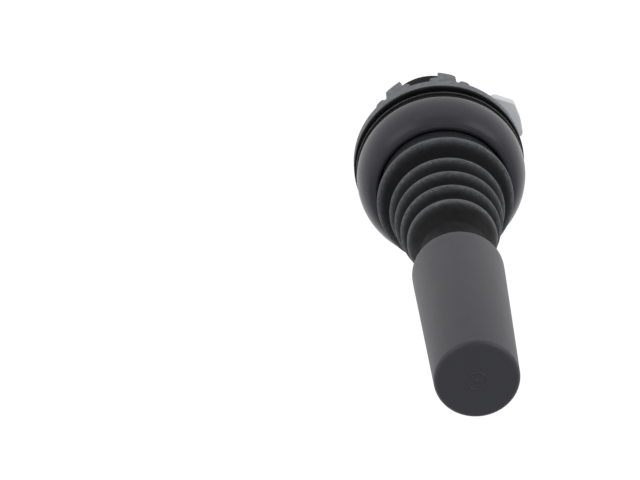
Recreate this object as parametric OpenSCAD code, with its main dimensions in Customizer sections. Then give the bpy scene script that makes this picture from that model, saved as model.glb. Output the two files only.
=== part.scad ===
/* [Panel mounting] */
// Outer radius of the barrel that goes through the panel hole
barrel_radius = 11; // [10:0.5:13]
// Distance from the panel face to the rear end of the barrel
barrel_depth = 30; // [29:0.5:40]
// Wall of the barrel behind the gimbal
barrel_wall = 1.5; // [1.2:0.1:2]
// Thickness of the rubber gasket that lies on the panel
gasket_thickness = 1; // [0.6:0.1:1.6]
// Thickest panel that the ring nut clamps as drawn
panel_gap = 2.2; // [2.1:0.1:4]
// Thickness of the washer in front of the ring nut
washer_thickness = 0.95; // [0.6:0.05:1.5]
// Width of the nib that keeps the head from turning in the panel
key_width = 3; // [2:0.1:4]
// Height of that nib above the barrel
key_height = 1.6; // [1:0.1:2.4]
// Distance that the nib reaches behind the panel face
key_depth = 1.6; // [1:0.1:2]

/* [Head] */
// Distance that the bezel's foot overhangs the collar under it
bezel_overhang = 3.5; // [3:0.1:5]
// Step from the bezel in to the black flange
flange_step = 0.1; // [0:0.05:0.3]
// Step from the bezel out to the washer
washer_step = 0.2; // [0:0.05:0.4]
// Step from the bezel out to the rim of the ring nut
nut_step = 0.5; // [0.2:0.05:1]
// Thickness of the flange
flange_thickness = 1.2; // [0.8:0.1:2.5]
// Step from the rear hollow in to the one that the gimbal swings in
bore_step = 0.3; // [0.2:0.05:0.6]
// Distance from the barrel out to the collar that the bezel snaps over
collar_step = 3.2; // [2.8:0.1:4]
// Height of the collar above the flange
collar_height = 4.6; // [4:0.1:5.2]
// Height of the narrow rim that stands on the collar
rim_height = 1.6; // [1.4:0.1:2]
// Radius of the dome's rounding
dome_radius = 8; // [6:0.1:9]
// Straight height at the foot of the bezel
bezel_foot = 1.2; // [0.4:0.1:1.6]
// Distance that the bezel reaches over the bead of the boot
bezel_lip = 0.9; // [0.5:0.1:1.4]
// Radius of the seal ring's wire under the bezel
seal_wire_radius = 0.55; // [0.4:0.05:0.7]

/* [Boot] */
// Wall thickness of the rubber boot
boot_wall = 1.1; // [0.8:0.1:1.4]
// Gap between the opening of the bezel and the boot
boot_gap = 0.3; // [0.1:0.05:0.5]
// Thickness of the bead clamped under the bezel
boot_bead = 1.3; // [1:0.1:1.5]
// Radii of the five crests, from the head to the handle
crest_radii = [14, 11.7, 10.9, 9.95, 8.85];
// Heights of the five crests above the panel face
crest_heights = [16.2, 21.2, 26.2, 30.8, 35.2];
// Radii of the valleys behind crests two to five
valley_radii = [10.5, 9.7, 8.8, 7.8];
// Height of a crest's flat lip
crest_lip = 0.7; // [0.4:0.05:1]
// Narrowing of the waist between the boot's root and the first crest
waist_step = 0.4; // [0:0.1:0.8]
// Height of that waist above the bead
waist_rise = 3.9; // [2.5:0.1:5]
// Distance from the last crest to the plain neck below the handle
neck_rise = 7; // [5:0.1:9]

/* [Handle] */
// Height of the handle's foot above the panel face
handle_base = 49.2; // [47:0.1:55]
// Length of the handle
handle_length = 41.1; // [30:0.1:60]
// Radius of the handle at its foot
handle_base_radius = 8.6; // [7.5:0.1:12]
// Radius of the handle near its tip
handle_tip_radius = 7.1; // [6:0.1:12]
// Rounding of the handle's tip
tip_rounding = 1.2; // [0.6:0.1:3]
// Rounding of the handle's foot
foot_rounding = 0.7; // [0.4:0.1:1.2]
// Wall of the threaded insert in the handle
insert_wall = 1.9; // [1:0.1:2.4]
// Length of the threaded insert
insert_length = 14; // [10:0.5:20]
// Cover of plastic below the insert
insert_cover = 1.8; // [1:0.1:3]

/* [Lever and gimbal] */
// Radius of the steel shaft of the lever
shaft_radius = 3; // [2.5:0.05:3.2]
// Step from the shaft in to its threaded end
thread_step = 0.5; // [0.2:0.05:0.8]
// Height of the tilting centre above the flange
pivot_rise = 2.2; // [1.8:0.05:2.6]
// Largest tilt to each side in degrees
tilt_limit = 12; // [8:0.5:12]
// Gap between the gimbal ring and the bore that it swings in
gimbal_gap = 0.9; // [0.6:0.05:1.2]
// Wall of the gimbal ring
gimbal_wall = 2; // [1.6:0.05:2.4]
// Half of the height of the gimbal ring
gimbal_half = 1.8; // [1.5:0.05:1.9]
// Radius of the four pivot pins
pivot_radius = 1; // [0.8:0.05:1.1]
// Gap between the hub and the gimbal ring
hub_gap = 1.1; // [0.8:0.05:1.3]
// Half of the height of the hub
hub_half = 2; // [1.6:0.05:2]
// Radius of the pin that locks the hub to the shaft
lock_pin_radius = 0.7; // [0.5:0.05:0.9]
// Width of the clip above the hub, from the shaft outwards
clip_width = 0.8; // [0.5:0.05:1]
// Thickness of that clip
clip_thickness = 0.5; // [0.4:0.05:0.6]
// Opening of that clip
clip_opening = 3.2; // [2:0.1:4]
// Wall of the bush that the boot grips
bush_wall = 2.1; // [1.5:0.05:2.4]
// Distance from the last crest of the boot to the start of that bush
bush_rise = 0.8; // [0.2:0.1:2]
// Thickness of the gate plate that limits the tilt
gate_thickness = 1.2; // [1:0.1:1.4]
// Inset of the gate plate from the rim that it lies on
gate_inset = 0.35; // [0.1:0.05:0.5]
// Radius of the gate screws
gate_screw_radius = 0.8; // [0.6:0.05:0.9]
// Width of the slot in a gate screw
gate_screw_slot = 0.24; // [0.2:0.02:0.4]
// Depth of that slot
gate_slot_depth = 0.3; // [0.2:0.05:0.5]
// Length of the gate screws
gate_screw_length = 4.6; // [4:0.1:5]

/* [Rocker and plungers] */
// Distance that the rocker plate reaches past the plungers
rocker_margin = 0.6; // [0.2:0.05:0.8]
// Distance from the tilting centre to the top of the rocker plate
rocker_drop = 4; // [3.8:0.05:4.4]
// Thickness of the rocker plate
rocker_thickness = 1.6; // [1.2:0.05:1.7]
// Radius of the screw that holds the rocker plate
rocker_screw_radius = 1.25; // [1:0.05:1.5]
// Width of that screw's head around its thread
screw_head_step = 0.8; // [0.5:0.05:1]
// Height of that screw's head
screw_head_height = 1.1; // [0.8:0.05:1.4]
// Width of the slot in that screw
rocker_screw_slot = 0.5; // [0.3:0.05:0.8]
// Depth of that slot
rocker_slot_depth = 0.6; // [0.3:0.05:0.8]
// Distance that the screw reaches into the shaft
screw_grip = 1.4; // [1:0.1:1.8]
// Distance of the plungers from the axis
plunger_circle = 4.9; // [4.7:0.05:5.3]
// Radius of a plunger
plunger_radius = 1.4; // [1.2:0.05:1.6]
// Gap between rocker plate and plungers at rest
plunger_gap = 0.4; // [0.38:0.02:0.6]
// Width of the collar on a plunger
plunger_collar_step = 0.9; // [0.7:0.05:1.1]
// Thickness of that collar
plunger_collar = 1.2; // [0.8:0.1:1.6]
// Distance from the guide to the collar at rest
plunger_collar_drop = 1.5; // [1.3:0.1:2]
// Distance that a plunger stops short of the barrel's end at rest
plunger_recess = 1.2; // [1.1:0.1:2]
// Distance of the plunger guide behind the panel face
guide_depth = 8; // [7:0.1:9]
// Thickness of the plunger guide
guide_thickness = 3.5; // [3:0.1:4]
// Thickness of the rear cover
cover_thickness = 2.6; // [2:0.1:3]
// Wall of the sleeve between guide and rear cover
sleeve_wall = 1; // [0.8:0.1:1.4]
// Thickness of the clip behind the rear cover
rear_clip_thickness = 0.8; // [0.6:0.1:1]
// Width of that clip inside the barrel
rear_clip_width = 1.4; // [1:0.1:1.8]
// Opening of that clip
rear_clip_opening = 4.4; // [3:0.1:6]
// Depth of the groove that takes the rear clip
rear_clip_groove = 0.5; // [0.3:0.05:0.6]
// Distance of the rear clip from the barrel's end
rear_clip_inset = 0.8; // [0.6:0.1:1.2]
// Wire radius of the return spring
return_wire = 0.32; // [0.25:0.01:0.35]
// Wire radius of a plunger spring
plunger_wire = 0.22; // [0.18:0.01:0.25]
// Gap between a plunger and its spring
plunger_spring_gap = 0.23; // [0.15:0.01:0.3]

/* [Ring nut and lock] */
// Thickness of the nut's rim
nut_rim = 2.9; // [2.4:0.1:3.4]
// Wall of the nut's hub on the barrel
nut_hub_wall = 3; // [2.4:0.1:3.4]
// Depth of the nut's hub
nut_hub_depth = 4; // [3.2:0.1:4.4]
// Pairs of dogs around the nut
dog_pairs = 3; // [2:1:4]
// Distance that the dogs reach behind the rim
dog_height = 5.6; // [4:0.1:6]
// Drop of a dog's back from its inner to its outer flank
dog_drop = 1.4; // [0:0.1:2]
// Radial thickness of the dogs
dog_thickness = 2.8; // [2.2:0.1:3.2]
// Width of a dog around the rim
dog_width = 3.7; // [3:0.1:4.5]
// Angle from the centre of a pair of dogs to each of the two
dog_half_angle = 19.3; // [15:0.1:22]
// Angle that the first pair is turned from the nib
dog_turn = 14.2; // [0:0.1:45]
// Step from the nut's rim in to its dogs
dog_inset = 0.2; // [0.1:0.05:0.4]
// Radius of the rounded bumps beside the dogs
bump_radius = 1.1; // [0.8:0.05:1.3]
// Height of a bump's centre line above the back of the rim
bump_rise = 0.45; // [0:0.05:1]
// Step from a dog's inner face to the end of a bump
bump_inset = 0.4; // [0.2:0.05:0.8]
// Angle from a dog to the bump on its steep side
bump_near = 8.6; // [7.5:0.1:9]
// Angle from a dog to the bump on its low side
bump_far = 11.2; // [10.9:0.1:13]
// Gap between the nut's hub and the mounting collar
lock_collar_gap = 0.4; // [0.2:0.1:1]
// Wall of the mounting collar
lock_collar_wall = 2.4; // [2:0.1:2.8]
// Gap between the nut's dogs and the locking lever
lock_gap = 0.3; // [0.2:0.05:1]
// Thickness of the locking lever
lock_thickness = 3; // [2.4:0.1:3.4]
// Step from that thickness down to the thumb piece
thumb_step = 0.4; // [0.2:0.05:0.8]
// Wall of the locking lever's ring
lock_ring_wall = 2.6; // [2.2:0.1:3]
// Distance from the barrel to the end of the locking lever
lock_reach = 8.55; // [7:0.05:11]
// Width of the locking lever's thumb piece
lock_width = 10.6; // [8:0.1:12]
// Rounding of the thumb piece's corners
lock_rounding = 1.8; // [1:0.1:3]
// Angle of the thumb piece from the nib, clockwise from the front
lock_angle = 64; // [40:1:90]
// Wall of the clip behind the locking lever
collar_clip_wall = 1.6; // [1.2:0.1:1.8]
// Thickness of that clip
collar_clip_thickness = 0.8; // [0.6:0.1:1]
// Opening of that clip
collar_clip_opening = 4; // [3:0.1:6]
// Depth of the groove that takes that clip
collar_clip_groove = 0.5; // [0.3:0.05:0.6]

/* [Fits] */
// Radial clearance of parts that turn or slide
running_fit = 0.05; // [0.02:0.01:0.08]
// Radial clearance of parts that are only pushed together
loose_fit = 0.1; // [0.05:0.01:0.2]
// Distance along the axis between parts that turn past each other
end_play = 0.2; // [0.1:0.01:0.3]

/* [Hidden] */
$fn = 96;
eps = 0.5;
collar_radius = barrel_radius + collar_step;
bezel_radius = collar_radius + bezel_overhang;
flange_radius = bezel_radius - flange_step;
washer_radius = bezel_radius + washer_step;
nut_radius = bezel_radius + nut_step;
bezel_opening = collar_radius - bezel_lip;
seal_radius = (collar_radius + loose_fit + bezel_radius) / 2;
boot_root_radius = bezel_opening - boot_gap;
waist_radius = boot_root_radius - waist_step;
rim_radius = boot_root_radius - boot_wall - loose_fit / 2;
rear_bore_radius = barrel_radius - barrel_wall;
bore_radius = rear_bore_radius - bore_step;
key_reach = barrel_radius + key_height;
flange_back = gasket_thickness;
bezel_back = flange_back + flange_thickness;
collar_top = bezel_back + collar_height;
rim_top = collar_top + rim_height;
bead_top = collar_top + boot_bead;
waist_height = bead_top + waist_rise;
last_crest = len(crest_radii) - 1;
neck_start = crest_heights[last_crest] + neck_rise;
neck_top = handle_base - end_play;
dome_centre = bezel_radius - dome_radius;
dome_base = bezel_back + bezel_foot;
pivot_height = bezel_back + pivot_rise;
gimbal_outer = bore_radius - gimbal_gap;
gimbal_inner = gimbal_outer - gimbal_wall;
hub_radius = gimbal_inner - hub_gap;
hub_top = pivot_height + hub_half;
clip_radius = shaft_radius + clip_width;
bush_radius = shaft_radius + bush_wall;
bush_start = crest_heights[last_crest] + bush_rise;
neck_radius = bush_radius + boot_wall;
gate_radius = rim_radius - gate_inset;
gate_screw_circle = (bore_radius + gate_radius) / 2;
gate_top = rim_top + gate_thickness;
gate_half = shaft_radius / cos(tilt_limit) + (gate_top - pivot_height) * tan(tilt_limit) + loose_fit * 1.2;
thread_radius = shaft_radius - thread_step;
insert_radius = thread_radius + insert_wall;
insert_base = handle_base + insert_cover;
insert_top = insert_base + insert_length;
handle_top = handle_base + handle_length;
rocker_top = pivot_height - rocker_drop;
rocker_bottom = rocker_top - rocker_thickness;
rocker_radius = plunger_circle + plunger_radius + rocker_margin;
screw_head_radius = rocker_screw_radius + screw_head_step;
screw_head_back = rocker_bottom - screw_head_height;
return_spring_radius = (screw_head_radius + plunger_circle - plunger_radius) / 2;
plunger_collar_radius = plunger_radius + plunger_collar_step;
plunger_spring_radius = plunger_radius + plunger_spring_gap + plunger_wire;
plunger_top = rocker_bottom - plunger_gap;
plunger_bottom = plunger_recess - barrel_depth;
guide_back = -guide_depth - guide_thickness;
clip_back = rear_clip_inset - barrel_depth;
clip_front = clip_back + rear_clip_thickness;
rear_clip_radius = rear_bore_radius + rear_clip_groove;
cover_front = clip_front + cover_thickness;
collar_front = guide_back - plunger_collar_drop;
collar_back = collar_front - plunger_collar;
washer_front = -panel_gap;
washer_back = washer_front - washer_thickness;
nut_front = washer_back - running_fit;
rim_back = nut_front - nut_rim;
nut_back = nut_front - nut_hub_depth;
nut_hub_radius = barrel_radius + nut_hub_wall;
dog_outer = nut_radius - dog_inset;
dog_inner = nut_radius - dog_thickness;
dog_back = rim_back - dog_height;
lock_front = dog_back - lock_gap;
lock_back = lock_front - lock_thickness;
lock_collar_front = nut_back - lock_collar_gap;
lock_collar_back = lock_front + end_play;
lock_collar_radius = barrel_radius + lock_collar_wall;
lock_ring_radius = barrel_radius + lock_ring_wall;
lock_outer = barrel_radius + lock_reach;
collar_clip_radius = barrel_radius + collar_clip_wall;
groove_radius = barrel_radius - collar_clip_groove;
collar_clip_front = lock_back - end_play;
collar_clip_back = collar_clip_front - collar_clip_thickness;

// A round rod that starts at one height and ends at another
module rod(radius, bottom, top) {
    translate([0, 0, bottom])
        cylinder(r = radius, h = top - bottom);
}

// A tube between two heights
module tube(outer, inner, bottom, top) {
    difference() {
        rod(outer, bottom, top);
        rod(inner, bottom - eps, top + eps);
    }
}

// A rod across the axis at the tilting centre, from one distance to another
module cross_rod(radius, angle, near, far) {
    translate([0, 0, pivot_height])
        rotate([0, 90, angle])
            translate([0, 0, near])
                cylinder(r = radius, h = far - near);
}

// Children repeated at four places around the axis
module four_times(first) {
    for (step = [0:3])
        rotate([0, 0, first + 90 * step])
            children();
}

// Turns its children to an angle counted clockwise from the nib
module clockwise(angle) {
    rotate([0, 0, 90 - angle])
        children();
}

// A round wire wound around the axis, closed at both ends
module coil(radius, wire, bottom, top, turns) {
    sides = 8;
    steps = 14;
    last = turns * steps;
    low = bottom + wire;
    rise = top - bottom - 2 * wire;
    points = [
        for (i = [0:last])
            let(turn = 360 * i / steps, height = low + rise * i / last)
                for (k = [0:sides - 1])
                    let(tilt = 360 * k / sides, out = radius + wire * cos(tilt))
                        [out * cos(turn), out * sin(turn), height + wire * sin(tilt)]
    ];
    walls = [
        for (i = [0:last - 1])
            for (k = [0:sides - 1])
                let(next = (k + 1) % sides)
                    [i * sides + k, i * sides + next, (i + 1) * sides + next, (i + 1) * sides + k]
    ];
    first_end = [for (k = [0:sides - 1]) sides - 1 - k];
    last_end = [for (k = [0:sides - 1]) last * sides + k];
    polyhedron(points = points, faces = concat(walls, [first_end], [last_end]), convexity = 10);
}

// Black moulding of flange, collar and barrel that carries everything else
module head_body() {
    color([0.05, 0.05, 0.055])
        difference() {
            union() {
                rod(flange_radius, flange_back, bezel_back);
                rod(collar_radius, bezel_back, collar_top);
                rod(rim_radius, collar_top, rim_top);
                rod(barrel_radius, -barrel_depth, flange_back);
                translate([-key_width / 2, 0, -key_depth])
                    cube([key_width, key_reach, key_depth + flange_back]);
            }
            rod(bore_radius, -guide_depth - eps, rim_top + eps);
            rod(rear_bore_radius, -barrel_depth - eps, -guide_depth);
            rod(rear_clip_radius, clip_back, clip_front);
            tube(barrel_radius + eps, groove_radius, collar_clip_back, collar_clip_front);
            for (side = [0, 180])
                cross_rod(pivot_radius, side, bore_radius - eps, collar_radius + eps);
            four_times(45)
                translate([gate_screw_circle, 0, 0])
                    rod(gate_screw_radius, gate_top - gate_screw_length - eps, rim_top + eps);
        }
}

// Domed grey ring that covers the flange and clamps the boot
module bezel() {
    color([0.30, 0.30, 0.32])
        difference() {
            union() {
                rod(bezel_radius, bezel_back, dome_base);
                intersection() {
                    rotate_extrude()
                        translate([dome_centre, dome_base])
                            circle(r = dome_radius);
                    rod(bezel_radius + eps, dome_base, dome_base + dome_radius + eps);
                }
            }
            rod(bezel_opening, bezel_back - eps, dome_base + dome_radius + eps);
            rod(collar_radius + loose_fit, bezel_back - eps, bead_top);
            tube(seal_radius + seal_wire_radius, seal_radius - seal_wire_radius,
                 bezel_back - eps, bezel_back + 2 * seal_wire_radius);
        }
}

// Rubber ring between flange and bezel
module bezel_seal() {
    color([0.04, 0.04, 0.04])
        rotate_extrude()
            translate([seal_radius, bezel_back + seal_wire_radius])
                circle(r = seal_wire_radius);
}

// Bellows of five convolutions from the bezel to the handle
module boot() {
    inner_crests = [for (r = crest_radii) r - boot_wall];
    inner_valleys = [for (r = valley_radii) r - boot_wall];
    middles = [for (i = [0:last_crest - 1]) crest_heights[i] * 0.42 + crest_heights[i + 1] * 0.58];
    neck_height = neck_start - crest_heights[last_crest];
    outer_line = [
        [collar_radius - loose_fit, collar_top],
        [collar_radius - loose_fit, bead_top],
        [boot_root_radius, bead_top],
        [waist_radius, waist_height],
        for (i = [0:last_crest])
            each [
                [crest_radii[i], crest_heights[i] - crest_lip / 2],
                [crest_radii[i], crest_heights[i] + crest_lip / 2],
                if (i < last_crest) [valley_radii[i], middles[i]]
            ],
        [neck_radius + boot_wall * 1.27, neck_start - neck_height * 0.54],
        [neck_radius + boot_wall * 0.27, neck_start - neck_height * 0.29],
        [neck_radius, neck_start],
        [neck_radius, neck_top]
    ];
    inner_line = [
        [bush_radius, neck_top],
        [bush_radius, neck_start - neck_height * 0.06],
        [neck_radius + boot_wall * 0.27, neck_start - neck_height * 0.66],
        [inner_crests[last_crest], crest_heights[last_crest]],
        for (i = [last_crest - 1:-1:0])
            each [
                [inner_valleys[i], middles[i]],
                [inner_crests[i], crest_heights[i]]
            ],
        [waist_radius - boot_wall, waist_height],
        [boot_root_radius - boot_wall, bead_top],
        [boot_root_radius - boot_wall, collar_top]
    ];
    color([0.10, 0.10, 0.11])
        rotate_extrude()
            polygon(concat(outer_line, inner_line));
}

// Flat rubber ring that seals the head to the panel
module panel_gasket() {
    color([0.06, 0.06, 0.06])
        difference() {
            tube(flange_radius, barrel_radius + loose_fit, 0, gasket_thickness);
            translate([-key_width / 2 - loose_fit, 0, -eps])
                cube([key_width + 2 * loose_fit, key_reach + loose_fit, gasket_thickness + 2 * eps]);
        }
}

// Flat ring between panel and ring nut
module thrust_washer() {
    color([0.07, 0.07, 0.07])
        tube(washer_radius, barrel_radius + loose_fit, washer_back, washer_front);
}

// Rounded bump behind the rim of the nut, beside a dog
module nut_bump(angle) {
    clockwise(angle)
        translate([dog_inner + bump_inset, 0, rim_back - bump_rise])
            rotate([0, 90, 0])
                cylinder(r = bump_radius, h = dog_outer - dog_inner - 1.25 * bump_inset);
}

// Ramped block behind the rim of the nut, steep on the side that faces its twin
module nut_dog(angle, side) {
    steep = side * dog_width / 2;
    outer_back = dog_back + dog_drop;
    intersection() {
        tube(dog_outer, dog_inner, dog_back - eps, rim_back + eps);
        clockwise(angle)
            translate([dog_inner - eps, 0, 0])
                rotate([90, 0, 90])
                    linear_extrude(height = dog_thickness + 2 * eps)
                        polygon([
                            [steep, rim_back + eps],
                            [steep, dog_back],
                            [-steep * 0.6, outer_back - dog_drop * 0.2],
                            [-steep, outer_back + dog_drop * 0.2],
                            [-steep, rim_back + eps]
                        ]);
    }
}

// Castellated nut that clamps the head to the panel
module ring_nut() {
    color([0.38, 0.38, 0.40]) {
        tube(nut_radius, barrel_radius + running_fit, rim_back, nut_front);
        tube(nut_hub_radius, barrel_radius + running_fit, nut_back, rim_back);
        for (pair = [0:dog_pairs - 1])
            for (side = [-1, 1])
                nut_dog(360 / dog_pairs * pair - dog_turn + side * dog_half_angle, side);
        for (pair = [0:dog_pairs - 1])
            for (side = [-1, 1])
                for (lean = [-bump_near, bump_far])
                    nut_bump(360 / dog_pairs * pair - dog_turn + side * (dog_half_angle + lean));
    }
}

// Plain ring on the barrel that the locking lever bears against
module mounting_collar() {
    color([0.10, 0.10, 0.10])
        tube(lock_collar_radius, barrel_radius, lock_collar_back, lock_collar_front);
}

// Outline of the thumb piece: straight flanks, round corners and an arc about the barrel
module thumb_outline() {
    corner = lock_width / 2 - lock_rounding;
    reach = sqrt(pow(lock_outer - lock_rounding, 2) - pow(corner, 2));
    root = barrel_radius + lock_ring_wall / 2;
    translate([root, -lock_width / 2])
        square([reach - root, lock_width]);
    for (side = [-1, 1])
        translate([reach, side * corner])
            circle(r = lock_rounding);
    intersection() {
        circle(r = lock_outer);
        polygon([[0, 0], [2 * reach, -2 * corner], [2 * reach, 2 * corner]]);
    }
}

// Pale ring with a thumb piece that locks the contact carrier
module locking_lever() {
    color([0.72, 0.72, 0.73])
        difference() {
            union() {
                rod(lock_ring_radius, lock_back, lock_front);
                clockwise(lock_angle)
                    translate([0, 0, lock_back])
                        linear_extrude(height = lock_thickness - thumb_step)
                            thumb_outline();
            }
            rod(barrel_radius + running_fit, lock_back - eps, lock_front + eps);
        }
}

// Open clip in a groove of the barrel, behind the locking lever
module collar_clip() {
    color([0.62, 0.62, 0.64])
        difference() {
            tube(collar_clip_radius, groove_radius, collar_clip_back, collar_clip_front);
            translate([-collar_clip_opening / 2, -collar_clip_radius - eps, collar_clip_back - eps])
                cube([collar_clip_opening, barrel_radius, collar_clip_thickness + 2 * eps]);
        }
}

// Plate with a square opening that stops the shaft at full tilt
module gate_plate() {
    color([0.70, 0.70, 0.72])
        difference() {
            rod(gate_radius, rim_top, gate_top);
            translate([-gate_half, -gate_half, rim_top - eps])
                cube([2 * gate_half, 2 * gate_half, gate_thickness + 2 * eps]);
            four_times(45)
                translate([gate_screw_circle, 0, 0])
                    gate_screw_shape(eps);
        }
}

// Countersunk screw, or with extra the hole for it
module gate_screw_shape(extra) {
    rod(gate_screw_radius, gate_top - gate_screw_length, gate_top + extra);
    translate([0, 0, gate_top - gate_screw_radius * 0.75])
        cylinder(r1 = gate_screw_radius * 0.9, r2 = gate_screw_radius * 1.3, h = gate_screw_radius * 0.75);
}

// Four screws that hold the gate plate on the rim
module gate_screws() {
    color([0.80, 0.80, 0.82])
        four_times(45)
            translate([gate_screw_circle, 0, 0])
                difference() {
                    gate_screw_shape(0);
                    translate([-2 * gate_screw_radius, -gate_screw_slot / 2, gate_top - gate_slot_depth])
                        cube([4 * gate_screw_radius, gate_screw_slot, gate_slot_depth + eps]);
                }
}

// Two pins in the collar that the gimbal ring turns on
module outer_pivot_pins() {
    color([0.75, 0.75, 0.77])
        for (side = [0, 180])
            cross_rod(pivot_radius, side, gimbal_inner + loose_fit, collar_radius - loose_fit);
}

// Ring that tilts about the outer pins and carries the inner ones
module gimbal_ring() {
    color([0.66, 0.66, 0.68])
        difference() {
            tube(gimbal_outer, gimbal_inner, pivot_height - gimbal_half, pivot_height + gimbal_half);
            for (side = [0, 180])
                cross_rod(pivot_radius + running_fit, side, gimbal_inner - eps, gimbal_outer + eps);
            for (side = [90, 270])
                cross_rod(pivot_radius, side, gimbal_inner - eps, gimbal_outer + eps);
        }
}

// Two pins in the gimbal ring that the hub turns on
module inner_pivot_pins() {
    color([0.75, 0.75, 0.77])
        for (side = [90, 270])
            cross_rod(pivot_radius, side, shaft_radius + 2 * loose_fit, gimbal_outer - loose_fit);
}

// Block on the shaft that holds the lever in the gimbal
module lever_hub() {
    color([0.58, 0.58, 0.60])
        difference() {
            tube(hub_radius, shaft_radius, pivot_height - hub_half, hub_top);
            for (side = [90, 270])
                cross_rod(pivot_radius + running_fit, side, shaft_radius - eps, hub_radius + eps);
            cross_rod(lock_pin_radius, 0, -hub_radius - eps, hub_radius + eps);
        }
}

// Pin through hub and shaft
module hub_pin() {
    color([0.70, 0.70, 0.72])
        cross_rod(lock_pin_radius, 0, -hub_radius + loose_fit, hub_radius - loose_fit);
}

// Open clip on the shaft above the hub
module shaft_clip() {
    color([0.60, 0.60, 0.62])
        difference() {
            tube(clip_radius, shaft_radius, hub_top, hub_top + clip_thickness);
            translate([-clip_opening / 2, -clip_radius - eps, hub_top - eps])
                cube([clip_opening, clip_radius, clip_thickness + 2 * eps]);
        }
}

// Steel shaft from the rocker plate to the handle
module lever_shaft() {
    color([0.78, 0.78, 0.80])
        difference() {
            union() {
                rod(shaft_radius, rocker_top, insert_base);
                rod(thread_radius, insert_base, insert_top - 1);
            }
            cross_rod(lock_pin_radius, 0, -shaft_radius - eps, shaft_radius + eps);
            rod(rocker_screw_radius, rocker_top - eps, rocker_top + screw_grip);
        }
}

// Sleeve on the shaft that fills the neck of the boot
module neck_bush() {
    color([0.12, 0.12, 0.12])
        tube(bush_radius, shaft_radius, bush_start, neck_top);
}

// Threaded brass piece moulded into the handle
module handle_insert() {
    color([0.72, 0.60, 0.30])
        tube(insert_radius, thread_radius, insert_base, insert_top);
}

// Tapered handle with a rounded tip
module handle_grip() {
    tip_line = [
        for (step = [0:6])
            let(turn = 15 * step)
                [handle_tip_radius - tip_rounding + tip_rounding * cos(turn),
                 handle_top - tip_rounding + tip_rounding * sin(turn)]
    ];
    foot_line = [
        for (step = [0:4])
            let(turn = 22.5 * step)
                [handle_base_radius - foot_rounding + foot_rounding * sin(turn),
                 handle_base + foot_rounding - foot_rounding * cos(turn)]
    ];
    color([0.34, 0.34, 0.36])
        difference() {
            rotate_extrude()
                polygon(concat([[0, handle_base]], foot_line, tip_line, [[0, handle_top]]));
            rod(shaft_radius, handle_base - eps, insert_base + eps);
            rod(insert_radius, insert_base, insert_top);
        }
}

// Round plate on the end of the shaft that presses the plungers
module rocker_plate() {
    color([0.64, 0.64, 0.66])
        tube(rocker_radius, rocker_screw_radius, rocker_bottom, rocker_top);
}

// Screw that holds the rocker plate to the shaft
module rocker_screw() {
    color([0.76, 0.76, 0.78])
        difference() {
            union() {
                rod(rocker_screw_radius, rocker_bottom, rocker_top + screw_grip);
                rod(screw_head_radius, screw_head_back, rocker_bottom);
            }
            translate([-2 * screw_head_radius, -rocker_screw_slot / 2, screw_head_back - eps])
                cube([4 * screw_head_radius, rocker_screw_slot, rocker_slot_depth + eps]);
        }
}

// Coil that brings the lever back to the middle
module return_spring() {
    color([0.80, 0.80, 0.82])
        coil(return_spring_radius, return_wire, -guide_depth, rocker_bottom, 5);
}

// Disc with four holes that the plungers slide in
module plunger_guide() {
    color([0.80, 0.79, 0.74])
        difference() {
            rod(rear_bore_radius, guide_back, -guide_depth);
            four_times(0)
                translate([plunger_circle, 0, 0])
                    rod(plunger_radius + running_fit, guide_back - eps, -guide_depth + eps);
        }
}

// Sleeve that keeps guide and rear cover apart
module spacer_sleeve() {
    color([0.16, 0.16, 0.17])
        tube(rear_bore_radius, rear_bore_radius - sleeve_wall, cover_front, guide_back);
}

// Disc that closes the barrel and guides the rear ends of the plungers
module rear_cover() {
    color([0.10, 0.10, 0.11])
        difference() {
            rod(rear_bore_radius, clip_front, cover_front);
            four_times(0)
                translate([plunger_circle, 0, 0])
                    rod(plunger_radius + running_fit, clip_front - eps, cover_front + eps);
        }
}

// Open clip in a groove of the barrel, behind the rear cover
module rear_clip() {
    color([0.62, 0.62, 0.64])
        difference() {
            tube(rear_clip_radius, rear_bore_radius - rear_clip_width, clip_back, clip_front);
            translate([-rear_clip_opening / 2, -rear_clip_radius - eps, clip_back - eps])
                cube([rear_clip_opening, rear_bore_radius, rear_clip_thickness + 2 * eps]);
        }
}

// Pusher with a domed front end and a collar for its spring
module plunger(angle) {
    color([0.86, 0.85, 0.80])
        rotate([0, 0, angle])
            translate([plunger_circle, 0, 0]) {
                rod(plunger_radius, plunger_bottom, plunger_top - plunger_radius);
                rod(plunger_collar_radius, collar_back, collar_front);
                intersection() {
                    translate([0, 0, plunger_top - plunger_radius])
                        sphere(r = plunger_radius);
                    rod(plunger_radius + eps, plunger_top - plunger_radius - 0.2, plunger_top + eps);
                }
            }
}

// Coil that pushes a plunger towards the rocker plate
module plunger_spring(angle) {
    color([0.80, 0.80, 0.82])
        rotate([0, 0, angle])
            translate([plunger_circle, 0, 0])
                coil(plunger_spring_radius, plunger_wire, cover_front, collar_back, 7);
}

// Plunger on the side of the nib
module plunger_north() {
    plunger(90);
}

// Plunger opposite the nib
module plunger_south() {
    plunger(270);
}

// Plunger on the right, seen from the handle with the nib up
module plunger_east() {
    plunger(0);
}

// Plunger on the left
module plunger_west() {
    plunger(180);
}

// Spring of the plunger on the side of the nib
module spring_north() {
    plunger_spring(90);
}

// Spring of the plunger opposite the nib
module spring_south() {
    plunger_spring(270);
}

// Spring of the plunger on the right
module spring_east() {
    plunger_spring(0);
}

// Spring of the plunger on the left
module spring_west() {
    plunger_spring(180);
}

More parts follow.
